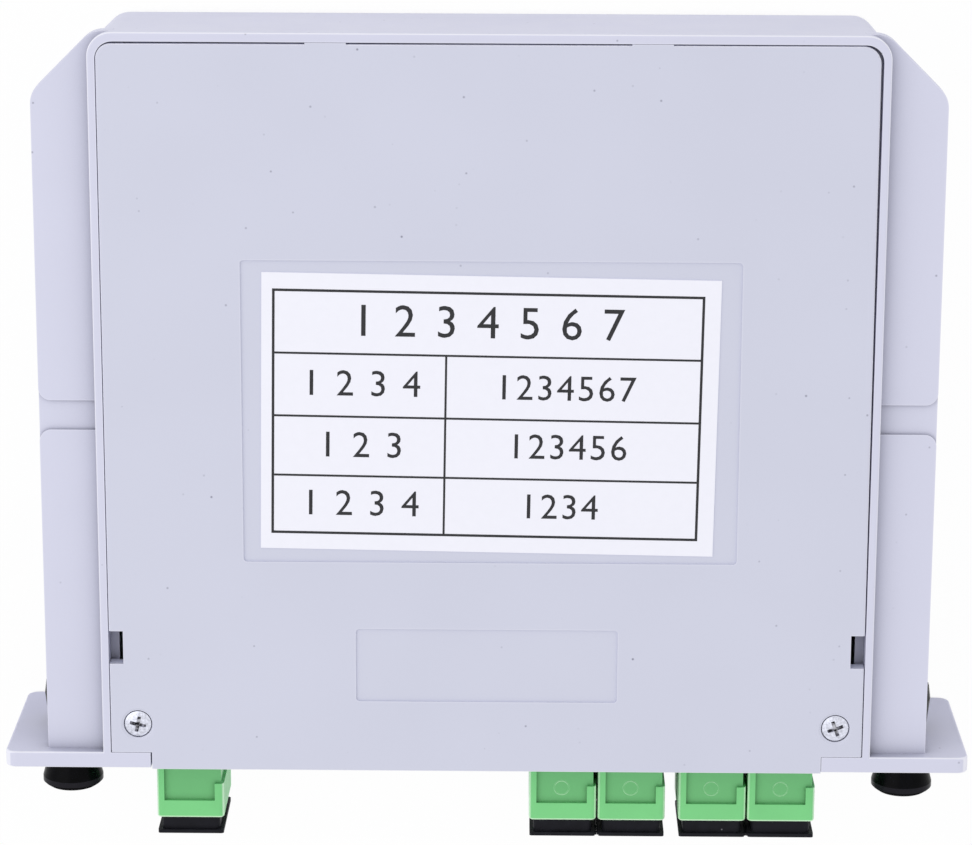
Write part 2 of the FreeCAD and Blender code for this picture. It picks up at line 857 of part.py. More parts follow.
def boot():
    # the strain relief behind an inner connector
    return Part.makeCone(boot_front_radius, boot_end_radius, boot_length,
                         Vector(0, plug_rear_y, 0), Vector(0, 1, 0))


def dust_cap():
    # a thin lipped plate, a narrower neck and a hollow insert that fills the socket
    plate_end = cap_front_y + cap_plate_thickness
    lip = rounded_bar(cap_plate_width, adapter_height, cap_front_y, plate_end, cap_plate_corner)
    neck = rounded_bar(cap_neck_width, cap_neck_height, plate_end - overlap, mouth_y, adapter_edge_radius)
    insert_width = socket_width - 2 * cap_insert_gap
    insert_height = socket_height - 2 * cap_insert_gap
    insert_end = mouth_y + cap_insert_length
    insert = rounded_bar(insert_width, insert_height, mouth_y - overlap, insert_end, adapter_edge_radius)
    hollow = block(insert_width - 2 * cap_wall, insert_height - 2 * cap_wall,
                   plate_end + cap_wall, insert_end + 1)
    return joined(lip, [neck, insert]).cut(hollow)


def grommet(side):
    # the split socket of a push rivet: a flange, a shank and four petals
    x = side * rivet_x
    shank = ear_hole_radius - rivet_fit
    tip_y = panel_rear_y + petal_length
    profile = [
        (front_y - grommet_flange, grommet_bore_radius),
        (front_y - grommet_flange, grommet_flange_radius - grommet_edge),
        (front_y - grommet_flange + grommet_edge, grommet_flange_radius),
        (front_y, grommet_flange_radius),
        (front_y, shank),
        (panel_rear_y, shank),
        (panel_rear_y + petal_neck, petal_start_radius),
        (panel_rear_y + petal_rise, petal_radius),
        (panel_rear_y + petal_shoulder, petal_shoulder_radius),
        (tip_y, petal_tip_radius),
        (tip_y, petal_tip_bore),
        (panel_rear_y + petal_rise, grommet_bore_radius),
    ]
    socket = turned(profile, x, port_height)
    start = panel_rear_y + petal_slot_start
    slot_length = petal_length + 1
    wide = petal_radius + 1
    half = petal_slot / 2
    upright = box(x - half, x + half, start, start + slot_length, port_height - wide, port_height + wide)
    level = box(x - wide, x + wide, start, start + slot_length, port_height - half, port_height + half)
    return socket.cut([upright, level])


def plunger(side):
    # the push rivet's knob and pin
    x = side * rivet_x
    seat_y = front_y - grommet_flange
    pin = grommet_bore_radius - plunger_fit
    rim_y = seat_y - knob_flare
    face_y = rim_y - knob_rim
    tip_y = seat_y + plunger_length
    profile = [
        (face_y - knob_dome, 0),
        (face_y - knob_dome, knob_crown_radius),
        (face_y - knob_shoulder, knob_shoulder_radius),
        (face_y, knob_radius - knob_edge),
        (face_y + knob_edge, knob_radius),
        (rim_y, knob_radius),
        (rim_y + knob_waist, knob_waist_radius),
        (seat_y, knob_stem_radius),
        (seat_y, pin),
        (tip_y - pin_taper, pin),
        (tip_y, pin_tip_radius),
        (tip_y, 0),
    ]
    return turned(profile, x, port_height)


def module_case():
    # the square steel tube round the splitter chip
    half = module_length / 2
    low = floor_thickness
    case = box(module_x - half, module_x + half, module_y - module_section / 2,
               module_y + module_section / 2, low, low + module_section)
    ends = [edge for edge in case.Edges if abs(abs(edge.CenterOfMass.x - module_x) - half) < 1e-4]
    return case.makeChamfer(module_chamfer, ends)


def module_boot(side):
    # the tapered end seal of the module
    start = Vector(module_x + side * module_length / 2, module_y, module_z)
    end = start + Vector(side * module_boot_length, 0, 0)
    loops = []
    for centre, size in ((start, module_boot_section), (end, module_boot_end)):
        half_y = module_boot_section / 2 if centre is end else size / 2
        half_z = size / 2
        corners = [
            centre + Vector(0, -half_y, -half_z),
            centre + Vector(0, half_y, -half_z),
            centre + Vector(0, half_y, half_z),
            centre + Vector(0, -half_y, half_z),
        ]
        loops.append(Part.makePolygon(corners + corners[:1]))
    return Part.makeLoft(loops, True, True)


def rounded_path(points, radius):
    # straight runs joined by tangent arcs of one radius
    edges = []
    last = points[0]
    for before, corner, after in zip(points, points[1:], points[2:]):
        back = (before - corner).normalize()
        ahead = (after - corner).normalize()
        half_angle = back.getAngle(ahead) / 2
        reach = radius / math.tan(half_angle)
        start = corner + back * reach
        end = corner + ahead * reach
        inward = (back + ahead).normalize()
        middle = corner + inward * (radius / math.sin(half_angle) - radius)
        edges.append(Part.LineSegment(last, start).toShape())
        edges.append(Part.Arc(start, middle, end).toShape())
        last = end
    edges.append(Part.LineSegment(last, points[-1]).toShape())
    return Part.Wire(edges)


def fibre(name, points, radius):
    # a tight-buffered fibre swept along its route
    path = rounded_path(points, radius)
    direction = points[1] - points[0]
    ring = Part.makeCircle(fibre_diameter / 2, points[0], direction)
    tube = path.makePipeShell([Part.Wire([ring])], True, True)
    section = math.pi * fibre_diameter ** 2 / 4
    print("%s length %.1f mm, bend radius %.1f mm, volume %.4f of section times length"
          % (name, path.Length, radius, tube.Volume / (section * path.Length)))
    return tube


def output_fibre(number, x):
    # from a connector's boot round the rear and left side to the module's left end
    outward = (number - 1) * output_track_pitch
    track_y = output_track_y + outward
    turn_x = output_turn_x - outward
    entry_y = module_y + (2.5 - number) * fibre_pitch
    points = [
        Vector(x, boot_rear_y, port_height),
        Vector(x, track_y, port_height),
        Vector(turn_x, track_y, track_height),
        Vector(turn_x, entry_y, module_z),
        Vector(module_left_x, entry_y, module_z),
    ]
    return fibre("output %d" % number, points, output_bend)


def input_fibre():
    # from the input's boot round the rear and right side to the module's right end
    points = [
        Vector(input_port_x, boot_rear_y, port_height),
        Vector(input_port_x, input_track_y, port_height),
        Vector(input_turn_x, input_track_y, track_height),
        Vector(input_turn_x, module_y, module_z),
        Vector(module_right_x, module_y, module_z),
    ]
    return fibre("input", points, input_bend)


def port_pieces():
    # the pieces that every port has, built once about the Y axis
    return {
        "adapter_front": adapter_front(),
        "adapter_rear": adapter_rear(),
        "sleeve_holder": sleeve_holder(),
        "sleeve": sleeve(),
        "ferrule": ferrule(),
        "plug": plug(),
        "boot": boot(),
        "dust_cap": dust_cap(),
    }


def all_pieces():
    pieces = {
        "housing_base": housing_base(),
        "cover": cover(),
        "label": label(),
        "module_case": module_case(),
        "module_boot_input": module_boot(1),
        "module_boot_output": module_boot(-1),
        "fibre_input": input_fibre(),
    }
    for name, side in (("left", -1), ("right", 1)):
        pieces["cover_screw_" + name] = cover_screw(side)
        pieces["grommet_" + name] = grommet(side)
        pieces["plunger_" + name] = plunger(side)
    shared = port_pieces()
    for number, (port, x) in enumerate(port_places().items()):
        for piece, shape in shared.items():
            pieces[piece + "_" + port] = shape.translated(Vector(x, 0, port_height))
        if number > 0:
            pieces["fibre_" + port] = output_fibre(number, x)
    return pieces


os.makedirs("parts", exist_ok=True)
pieces = all_pieces()
for name, shape in pieces.items():
    shape.exportStep("parts/" + name + ".step")
print("pieces written:", len(pieces))
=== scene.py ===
import json
import math
import bmesh
import bpy
from mathutils import Matrix, Vector


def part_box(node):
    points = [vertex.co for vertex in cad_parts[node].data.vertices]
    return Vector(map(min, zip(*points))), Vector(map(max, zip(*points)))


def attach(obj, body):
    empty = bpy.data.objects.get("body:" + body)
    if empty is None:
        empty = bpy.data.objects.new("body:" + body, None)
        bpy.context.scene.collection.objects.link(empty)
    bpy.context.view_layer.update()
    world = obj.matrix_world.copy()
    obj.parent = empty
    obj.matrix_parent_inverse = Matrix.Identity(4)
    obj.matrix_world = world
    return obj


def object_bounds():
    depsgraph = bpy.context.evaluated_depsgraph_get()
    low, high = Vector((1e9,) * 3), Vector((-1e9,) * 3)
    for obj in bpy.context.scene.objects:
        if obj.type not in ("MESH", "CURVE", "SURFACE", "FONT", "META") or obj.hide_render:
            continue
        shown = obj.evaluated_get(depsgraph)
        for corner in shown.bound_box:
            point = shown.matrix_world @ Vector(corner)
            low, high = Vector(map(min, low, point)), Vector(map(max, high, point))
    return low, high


# A splitter cassette that lies on its back, seen from above with its ports at the bottom.
# Sizes in the dictionaries are millimetres, and Blender works in metres.
mm = 0.001

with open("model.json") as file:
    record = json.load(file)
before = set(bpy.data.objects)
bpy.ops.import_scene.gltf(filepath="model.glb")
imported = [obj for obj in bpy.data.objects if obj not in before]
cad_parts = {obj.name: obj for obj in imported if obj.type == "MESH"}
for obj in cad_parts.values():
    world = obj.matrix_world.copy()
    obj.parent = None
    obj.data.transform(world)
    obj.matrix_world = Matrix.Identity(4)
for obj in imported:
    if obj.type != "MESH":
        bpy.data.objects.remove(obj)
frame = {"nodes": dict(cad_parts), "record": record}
nodes = frame["nodes"]
cadBox = [list(corner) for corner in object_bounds()]
ports = ["input", "output_1", "output_2", "output_3", "output_4"]
print("frame loaded,", len(nodes), "nodes")


def linearColour(code):  # sRGB hex to linear
    channels = []
    for start in (0, 2, 4):
        value = int(code[start:start + 2], 16) / 255
        channels.append(value / 12.92 if value <= 0.04045 else ((value + 0.055) / 1.055) ** 2.4)
    return (*channels, 1.0)


def addNode(tree, kind, settings=None, links=None):  # settings are sockets or properties
    node = tree.nodes.new("ShaderNode" + kind)
    for name, value in (settings or {}).items():
        if isinstance(name, int) or name in node.inputs:
            node.inputs[name].default_value = value
        else:
            setattr(node, name, value)
    for name, source in (links or {}).items():
        tree.links.new(source, node.inputs[name])
    return node


def newMaterial(name):
    material = bpy.data.materials.new(name)
    material.use_nodes = True
    tree = material.node_tree
    tree.nodes.clear()
    place = addNode(tree, "TexCoord").outputs["Object"]
    return material, tree, place


def closeMaterial(tree, shaderOutput):
    output = tree.nodes.new("ShaderNodeOutputMaterial")
    tree.links.new(shaderOutput, output.inputs["Surface"])


def perMetre(size):  # texture scale that gives features of that many millimetres
    return 1 / (size * mm)


# Most of a noise texture lies between these two
noiseLow = 0.3
noiseHigh = 0.7

# Where the masks for edges and corners begin and are whole: shares of open sky from the
# ambient occlusion, and parts of the surface's normal
maskLimits = {
    "sharpStart": 0.9, "sharpFull": 0.55, "cornerStart": 0.95, "cornerFull": 0.4,
    "gapStart": 0.35, "gapFull": 0.1, "sideStart": 0.05, "sideFull": 0.2,
    "frontStart": -0.1, "frontFull": -0.35, "level": 0.9,
}


def shadeVariation(tree, place, colour, size, share):
    # the colour, a little lighter and darker in patches of that size
    noise = addNode(tree, "TexNoise", {"Scale": perMetre(size), "Detail": 2.0}, {"Vector": place})
    level = addNode(tree, "MapRange", {"From Min": noiseLow, "From Max": noiseHigh,
                                       "To Min": 1 - share, "To Max": 1 + share},
                    {"Value": noise.outputs["Fac"]})
    return addNode(tree, "HueSaturation", {"Color": linearColour(colour)},
                   {"Value": level.outputs[0]}).outputs[0]


def speckle(tree, place, base, colour, spacing, size, share, contrast=2.5):
    # specks that lie in the plastic, so that the surface cuts them at all sizes up to the largest;
    # most are faint and a few are dark, the more so the higher the contrast
    cells = addNode(tree, "TexVoronoi", {"Scale": perMetre(spacing)}, {"Vector": place})
    radius = size / 2 / spacing
    amount = addNode(tree, "MapRange", {"From Min": radius, "From Max": radius / 3, "To Max": share},
                     {"Value": cells.outputs["Distance"]})
    chance = addNode(tree, "SeparateXYZ", {}, {0: cells.outputs["Color"]}).outputs["X"]
    strength = addNode(tree, "Math", {"operation": "POWER", 1: contrast}, {0: chance})
    amount = addNode(tree, "Math", {"operation": "MULTIPLY"},
                     {0: amount.outputs[0], 1: strength.outputs[0]})
    mix = addNode(tree, "MixRGB", {"Color2": linearColour(colour)},
                  {"Fac": amount.outputs[0], "Color1": base})
    return mix.outputs[0]


def sharpEdges(tree, reach):
    # where a ray that goes into the piece comes out again within the reach
    inward = addNode(tree, "AmbientOcclusion", {"samples": 6, "inside": True, "only_local": True,
                                                "Distance": reach * mm})
    return addNode(tree, "MapRange", {"From Min": maskLimits["sharpStart"],
                                      "From Max": maskLimits["sharpFull"]},
                   {"Value": inward.outputs["AO"]}).outputs[0]


def facing(tree):
    # how far the surface faces along Y, and how far up or down
    surface = addNode(tree, "NewGeometry")
    parts = addNode(tree, "SeparateXYZ", {}, {0: surface.outputs["Normal"]})
    level = addNode(tree, "Math", {"operation": "ABSOLUTE"}, {0: parts.outputs["Z"]})
    return parts.outputs["Y"], level.outputs[0]


def offSides(tree, mask, level):
    # the mask, without the upright faces
    side = addNode(tree, "MapRange", {"From Min": maskLimits["sideStart"],
                                      "From Max": maskLimits["sideFull"]}, {"Value": level})
    return addNode(tree, "Math", {"operation": "MULTIPLY"}, {0: mask, 1: side.outputs[0]}).outputs[0]


def roundedEdges(tree, start, full):
    # roundings between a level and an upright face: they begin where the normal's upward
    # part is below start and are whole where it is below full
    level = facing(tree)[1]
    mask = addNode(tree, "MapRange", {"From Min": start, "From Max": full}, {"Value": level})
    return offSides(tree, mask.outputs[0], level)


def frontEdges(tree):
    # roundings that turn from a level face towards the front
    rearward, level = facing(tree)
    mask = addNode(tree, "MapRange", {"From Min": maskLimits["frontStart"],
                                      "From Max": maskLimits["frontFull"]}, {"Value": rearward})
    return offSides(tree, mask.outputs[0], level)


def paintedHighlight(tree, base, colour, mask, share):
    # painted highlight: a lighter colour mixed in where the mask lies
    amount = addNode(tree, "Math", {"operation": "MULTIPLY", 1: share}, {0: mask})
    mix = addNode(tree, "MixRGB", {"Color2": linearColour(colour)},
                  {"Fac": amount.outputs[0], "Color1": base})
    return mix.outputs[0]


def paintedCornerShade(tree, base, reach, share, deep=0.0):
    # painted shade: inner corners a little darker and narrow gaps much darker, where shade falls
    outward = addNode(tree, "AmbientOcclusion", {"samples": 6, "only_local": True,
                                                 "Distance": reach * mm})
    level = addNode(tree, "MapRange", {"From Min": maskLimits["cornerFull"],
                                       "From Max": maskLimits["cornerStart"], "To Min": 1 - share},
                    {"Value": outward.outputs["AO"]})
    gap = addNode(tree, "MapRange", {"From Min": maskLimits["gapFull"],
                                     "From Max": maskLimits["gapStart"], "To Min": 1 - deep},
                  {"Value": outward.outputs["AO"]})
    level = addNode(tree, "Math", {"operation": "MULTIPLY"}, {0: level.outputs[0], 1: gap.outputs[0]})
    return addNode(tree, "HueSaturation", {}, {"Value": level.outputs[0], "Color": base}).outputs[0]


def fineBump(tree, place, size, depth):
    # a grain of that size and depth, both in millimetres
    grain = addNode(tree, "TexNoise", {"Scale": perMetre(size), "Detail": 3.0, "Roughness": 0.6},
                    {"Vector": place})
    return addNode(tree, "Bump", {"Strength": 1.0, "Distance": depth * mm},
                   {"Height": grain.outputs["Fac"]}).outputs[0]


def roughnessVariation(tree, place, size, low, high):
    noise = addNode(tree, "TexNoise", {"Scale": perMetre(size), "Detail": 3.0}, {"Vector": place})
    level = addNode(tree, "MapRange", {"From Min": noiseLow, "From Max": noiseHigh, "To Min": low,
                                       "To Max": high}, {"Value": noise.outputs["Fac"]})
    return level.outputs[0]


# ABS, injection moulded in a spark-eroded mould: an even pale lilac grey with a fine satin
# grain, a slow change of shade along the melt's flow, and a few dark specks of burnt material.
# The tray comes from another mould than the cover and is a trace lighter and redder. The edges
# carry painted highlights, and the tray's inner corners and gaps carry painted shade.
absPlastic = {
    "colours": {"absMouldedTray": "D5D6E9", "absMouldedCover": "D0D2E3"},
    "flowSize": 22.0, "flowShare": 0.012,
    "speckColour": "77788C", "speckSpacing": 2.8, "speckSize": 0.42, "speckShare": 0.9,
    "highlightColour": "F4F4FD", "sharpReach": 0.25, "sharpShare": 0.25, "roundStart": 0.885,
    "roundFull": 0.8, "roundShare": 0.75, "cornerReach": 6.5,
    "cornerShare": 0.35, "gapShare": 0.8, "paintedShadeOn": ["absMouldedTray"],
    "grainSize": 0.35, "grainDepth": 0.0016,  # real grain is about 0.1 mm, drawn coarser to show
    "roughLow": 0.42, "roughHigh": 0.5, "ior": 1.53, "gloss": 0.4,
}


def makeAbs(name):
    s = absPlastic
    material, tree, place = newMaterial(name)
    colour = shadeVariation(tree, place, s["colours"][name], s["flowSize"], s["flowShare"])
    colour = speckle(tree, place, colour, s["speckColour"], s["speckSpacing"], s["speckSize"],
                     s["speckShare"])
    if name in s["paintedShadeOn"]:  # the cover's shallow recesses get no painted shade
        colour = paintedCornerShade(tree, colour, s["cornerReach"], s["cornerShare"], s["gapShare"])
    # painted highlights on the sharp and the rounded edges
    colour = paintedHighlight(tree, colour, s["highlightColour"], sharpEdges(tree, s["sharpReach"]), s["sharpShare"])
    rounded = roundedEdges(tree, s["roundStart"], s["roundFull"])
    colour = paintedHighlight(tree, colour, s["highlightColour"], rounded, s["roundShare"])
    rough = roughnessVariation(tree, place, s["flowSize"] / 4, s["roughLow"], s["roughHigh"])
    normal = fineBump(tree, place, s["grainSize"], s["grainDepth"])
    shader = addNode(tree, "BsdfPrincipled", {"IOR": s["ior"], "Specular IOR Level": s["gloss"]},
                     {"Base Color": colour, "Roughness": rough, "Normal": normal})
    closeMaterial(tree, shader.outputs[0])
    return material


# Coated label paper, calendered: a cold white with a barely visible fibre cloud
labelPaper = {
    "colour": "F3F3FD", "cloudSize": 1.2, "cloudShare": 0.006,
    "fibreSize": 0.3, "fibreDepth": 0.0008, "roughness": 0.62, "gloss": 0.3,
}


def makePaper():
    s = labelPaper
    material, tree, place = newMaterial("coatedLabelPaper")
    colour = shadeVariation(tree, place, s["colour"], s["cloudSize"], s["cloudShare"])
    normal = fineBump(tree, place, s["fibreSize"], s["fibreDepth"])
    shader = addNode(tree, "BsdfPrincipled",
                     {"Roughness": s["roughness"], "Specular IOR Level": s["gloss"]},
                     {"Base Color": colour, "Normal": normal})
    closeMaterial(tree, shader.outputs[0])
    return material


# Laser toner fused on the paper: near black, with slightly uneven cover
tonerPrint = {"colour": "17171D", "cloudSize": 0.5, "cloudShare": 0.25, "roughness": 0.5}


def makeToner():
    s = tonerPrint
    material, tree, place = newMaterial("tonerFused")
    colour = shadeVariation(tree, place, s["colour"], s["cloudSize"], s["cloudShare"])
    shader = addNode(tree, "BsdfPrincipled", {"Roughness": s["roughness"]}, {"Base Color": colour})
    closeMaterial(tree, shader.outputs[0])
    return material


# Nickel-plated steel, cold headed and barrel plated: bright grey metal with the dents and
# scratches of tumbling. Below the dome, on the head's side and in the cross, painted shade lies
# in patches between a near black and a paler metal colour.
nickelSteel = {
    "colour": "DADCE9", "tumbleSize": 0.35, "tumbleShare": 0.24,
    "paintedShadeColour": "202024", "paleMetalColour": "C4C4CC", "shadePatchSize": 0.5, "shadePatchLow": 0.36,
    "shadePatchHigh": 0.58, "domeHeight": 0.36, "fade": 0.06,
    "grainSize": 0.3, "grainDepth": 0.012, "roughLow": 0.22, "roughHigh": 0.42,
}


def makeNickel():
    s = nickelSteel
    material, tree, place = newMaterial("nickelPlatedSteel")
    colour = shadeVariation(tree, place, s["colour"], s["tumbleSize"], s["tumbleShare"])
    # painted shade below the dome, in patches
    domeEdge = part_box("cover_screw_left")[1].z - s["domeHeight"] * mm
    height = addNode(tree, "SeparateXYZ", {}, {0: place}).outputs["Z"]
    belowDome = addNode(tree, "MapRange", {"From Min": domeEdge, "From Max": domeEdge - s["fade"] * mm},
                    {"Value": height})
    noise = addNode(tree, "TexNoise", {"Scale": perMetre(s["shadePatchSize"]), "Detail": 2.0},
                    {"Vector": place})
    shadePatches = addNode(tree, "MapRange", {"From Min": s["shadePatchLow"], "From Max": s["shadePatchHigh"]},
                   {"Value": noise.outputs["Fac"]})
    inCross = addNode(tree, "MixRGB", {"Color1": linearColour(s["paintedShadeColour"]),
                                       "Color2": linearColour(s["paleMetalColour"])},
                      {"Fac": shadePatches.outputs[0]})
    colour = addNode(tree, "MixRGB", {}, {"Fac": belowDome.outputs[0], "Color1": colour,
                                          "Color2": inCross.outputs[0]}).outputs[0]
    rough = roughnessVariation(tree, place, s["tumbleSize"], s["roughLow"], s["roughHigh"])
    normal = fineBump(tree, place, s["grainSize"], s["grainDepth"])
    shader = addNode(tree, "BsdfPrincipled", {"Metallic": 1.0},
                     {"Base Color": colour, "Roughness": rough, "Normal": normal})
    closeMaterial(tree, shader.outputs[0])
    return material


# Polypropylene, injection moulded: light apple green with a waxy sheen. Its rounded and front
# edges carry a painted highlight, and its inner corners carry painted shade.
greenPlastic = {
    "colour": "7CD487", "flowSize": 6.0, "flowShare": 0.03,
    "speckColour": "4E9A5C", "speckSpacing": 2.4, "speckSize": 0.2, "speckShare": 0.5,
    "recessColour": "6FC07A", "portHeight": 12.5, "recessReach": 6.2,
    "highlightColour": "D2FAD2", "roundStart": 0.85, "roundFull": 0.6, "highlightShare": 1.0,
    "cornerReach": 1.0, "cornerShare": 0.3,
    "grainSize": 0.3, "grainDepth": 0.0015, "roughLow": 0.34, "roughHigh": 0.44, "ior": 1.49,
    "gloss": 0.45,
}


def recessShade(tree, place, base):
    # level faces sunk below the adapter's top and bottom, drawn in a darker green
    s = greenPlastic
    height = addNode(tree, "SeparateXYZ", {}, {0: place}).outputs["Z"]
    fromAxis = addNode(tree, "Math", {"operation": "SUBTRACT", 1: s["portHeight"] * mm}, {0: height})
    fromAxis = addNode(tree, "Math", {"operation": "ABSOLUTE"}, {0: fromAxis.outputs[0]})
    sunk = addNode(tree, "Math", {"operation": "LESS_THAN", 1: s["recessReach"] * mm},
                   {0: fromAxis.outputs[0]})
    level = addNode(tree, "Math", {"operation": "GREATER_THAN", 1: maskLimits["level"]},
                    {0: facing(tree)[1]})
    both = addNode(tree, "Math", {"operation": "MULTIPLY"}, {0: sunk.outputs[0], 1: level.outputs[0]})
    mix = addNode(tree, "MixRGB", {"Color2": linearColour(s["recessColour"])},
                  {"Fac": both.outputs[0], "Color1": base})
    return mix.outputs[0]


def makeGreen():
    s = greenPlastic
    material, tree, place = newMaterial("polypropyleneGreen")
    colour = shadeVariation(tree, place, s["colour"], s["flowSize"], s["flowShare"])
    colour = speckle(tree, place, colour, s["speckColour"], s["speckSpacing"], s["speckSize"],
                     s["speckShare"])
    colour = recessShade(tree, place, colour)
    # painted shade in the adapter's inner corners
    colour = paintedCornerShade(tree, colour, s["cornerReach"], s["cornerShare"])
    # painted highlight on the rounded and the front edges
    edges = addNode(tree, "Math", {"operation": "MAXIMUM"},
                    {0: roundedEdges(tree, s["roundStart"], s["roundFull"]), 1: frontEdges(tree)})
    colour = paintedHighlight(tree, colour, s["highlightColour"], edges.outputs[0], s["highlightShare"])
    rough = roughnessVariation(tree, place, s["flowSize"] / 3, s["roughLow"], s["roughHigh"])
    normal = fineBump(tree, place, s["grainSize"], s["grainDepth"])
    shader = addNode(tree, "BsdfPrincipled", {"IOR": s["ior"], "Specular IOR Level": s["gloss"]},
                     {"Base Color": colour, "Roughness": rough, "Normal": normal})
    closeMaterial(tree, shader.outputs[0])
    return material


# Black plastics, injection moulded. Low-density polyethylene is soft, matte and draws lint;
# nylon 6/6 is harder and takes a brighter polish from the mould, except on the slopes that face
# the front. The front edges of the caps and the rim of each nylon knob carry a grey painted highlight.
blackPlastics = {
    "polyethyleneSoftBlack": {
        "colour": "1A1A20", "cloudSize": 1.5, "cloudShare": 0.2, "roughLow": 0.42, "roughHigh": 0.56,
        "gloss": 0.1, "highlightColour": "34343A", "highlightShare": 0.8,
        "grainSize": 0.3, "grainDepth": 0.004, "dustColour": "D9DAE2", "dustSpacing": 2.2,
        "dustSize": 0.3, "dustShare": 1.0, "ior": 1.51,
    },
    "nylonMouldedBlack": {
        "colour": "07070A", "cloudSize": 2.5, "cloudShare": 0.5, "roughLow": 0.2, "roughHigh": 0.32,
        "gloss": 0.05, "frontRough": 1.0, "rimHighlightColour": "232227", "rimStart": 1.1, "rimEnd": 1.85,
        "grainSize": 0.4, "grainDepth": 0.002, "dustColour": "8E8F9A", "dustSpacing": 3.0,
        "dustSize": 0.2, "dustShare": 0.9, "ior": 1.53,
    },
}


def knobRim(tree, place):
    # 1 on the rim of the knobs, which lies between two distances behind their front
    s = blackPlastics["nylonMouldedBlack"]
    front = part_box("plunger_left")[0].y
    along = addNode(tree, "SeparateXYZ", {}, {0: place}).outputs["Y"]
    behind = addNode(tree, "Math", {"operation": "GREATER_THAN", 1: front + s["rimStart"] * mm},
                     {0: along})
    before = addNode(tree, "Math", {"operation": "LESS_THAN", 1: front + s["rimEnd"] * mm}, {0: along})
    return addNode(tree, "Math", {"operation": "MULTIPLY"},
                   {0: behind.outputs[0], 1: before.outputs[0]}).outputs[0]


def makeBlack(name):
    s = blackPlastics[name]
    material, tree, place = newMaterial(name)
    colour = shadeVariation(tree, place, s["colour"], s["cloudSize"], s["cloudShare"])
    colour = speckle(tree, place, colour, s["dustColour"], s["dustSpacing"], s["dustSize"],
                     s["dustShare"])
    rough = roughnessVariation(tree, place, s["cloudSize"], s["roughLow"], s["roughHigh"])
    # painted highlight on the caps' front edges
    if "highlightColour" in s:
        colour = paintedHighlight(tree, colour, s["highlightColour"], frontEdges(tree), s["highlightShare"])
    # painted highlight on the knobs' rim
    if "rimHighlightColour" in s:
        colour = paintedHighlight(tree, colour, s["rimHighlightColour"], knobRim(tree, place), 1.0)
        matte = addNode(tree, "Math", {"operation": "MULTIPLY", 1: s["frontRough"]},
                        {0: frontEdges(tree)})
        rough = addNode(tree, "Math", {"operation": "MAXIMUM"},
                        {0: rough, 1: matte.outputs[0]}).outputs[0]
    normal = fineBump(tree, place, s["grainSize"], s["grainDepth"])
    shader = addNode(tree, "BsdfPrincipled", {"IOR": s["ior"], "Specular IOR Level": s["gloss"]},
                     {"Base Color": colour, "Roughness": rough, "Normal": normal})
    closeMaterial(tree, shader.outputs[0])
    return material


# The pieces inside, each with its colour, the size of its cloudiness, its grain and its
# roughness
insideCloudShare = 0.02
insidePieces = {
    "pbtNaturalMoulded": {"colour": "E4E3DA", "cloudSize": 3.0, "grainSize": 0.3, "grainDepth": 0.003,
                          "roughness": 0.45},  # milky, unpigmented
    "zirconiaPolished": {"colour": "F0EEE6", "cloudSize": 1.0, "grainSize": 0.2, "grainDepth": 0.0004,
                         "roughness": 0.12},  # dense white ceramic with a hard shine
    "pbtGreenMoulded": {"colour": "5FBE70", "cloudSize": 4.0, "grainSize": 0.3, "grainDepth": 0.003,
                        "roughness": 0.38},
    "elastomerGreenMoulded": {"colour": "57AD66", "cloudSize": 2.0, "grainSize": 0.4,
                              "grainDepth": 0.008, "roughness": 0.66},  # soft and dull
    "siliconeBlackMoulded": {"colour": "26262A", "cloudSize": 1.0, "grainSize": 0.3,
                             "grainDepth": 0.006, "roughness": 0.6},
    "pvcBufferExtruded": {"colour": "ECEBE4", "cloudSize": 4.0, "grainSize": 0.15,
                          "grainDepth": 0.002, "roughness": 0.36},  # smooth, slightly creamy
}


def makeInside(name):
    s = insidePieces[name]
    material, tree, place = newMaterial(name)
    colour = shadeVariation(tree, place, s["colour"], s["cloudSize"], insideCloudShare)
    normal = fineBump(tree, place, s["grainSize"], s["grainDepth"])
    shader = addNode(tree, "BsdfPrincipled", {"Roughness": s["roughness"]},
                     {"Base Color": colour, "Normal": normal})
    closeMaterial(tree, shader.outputs[0])
    return material


# Stainless tube, cold drawn: fine lines run along it
drawnSteel = {"colour": "C6C7C9", "cloudSize": 3.0, "cloudShare": 0.03, "lineWidth": 0.08,
              "lineLength": 12.0, "lineDepth": 0.002, "roughLow": 0.22, "roughHigh": 0.38}


def makeDrawnSteel():
    s = drawnSteel
    material, tree, place = newMaterial("stainlessDrawn")
    stretch = (perMetre(s["lineLength"]), perMetre(s["lineWidth"]), perMetre(s["lineWidth"]))
    lines = addNode(tree, "Mapping", {"Scale": stretch}, {"Vector": place}).outputs[0]
    noise = addNode(tree, "TexNoise", {"Scale": 1.0, "Detail": 2.0}, {"Vector": lines})
    rough = addNode(tree, "MapRange", {"To Min": s["roughLow"], "To Max": s["roughHigh"]},
                    {"Value": noise.outputs["Fac"]})
    bump = addNode(tree, "Bump", {"Distance": s["lineDepth"] * mm}, {"Height": noise.outputs["Fac"]})
    colour = shadeVariation(tree, place, s["colour"], s["cloudSize"], s["cloudShare"])
    shader = addNode(tree, "BsdfPrincipled", {"Metallic": 1.0},
                     {"Base Color": colour, "Roughness": rough.outputs[0], "Normal": bump.outputs[0]})
    closeMaterial(tree, shader.outputs[0])
    return material


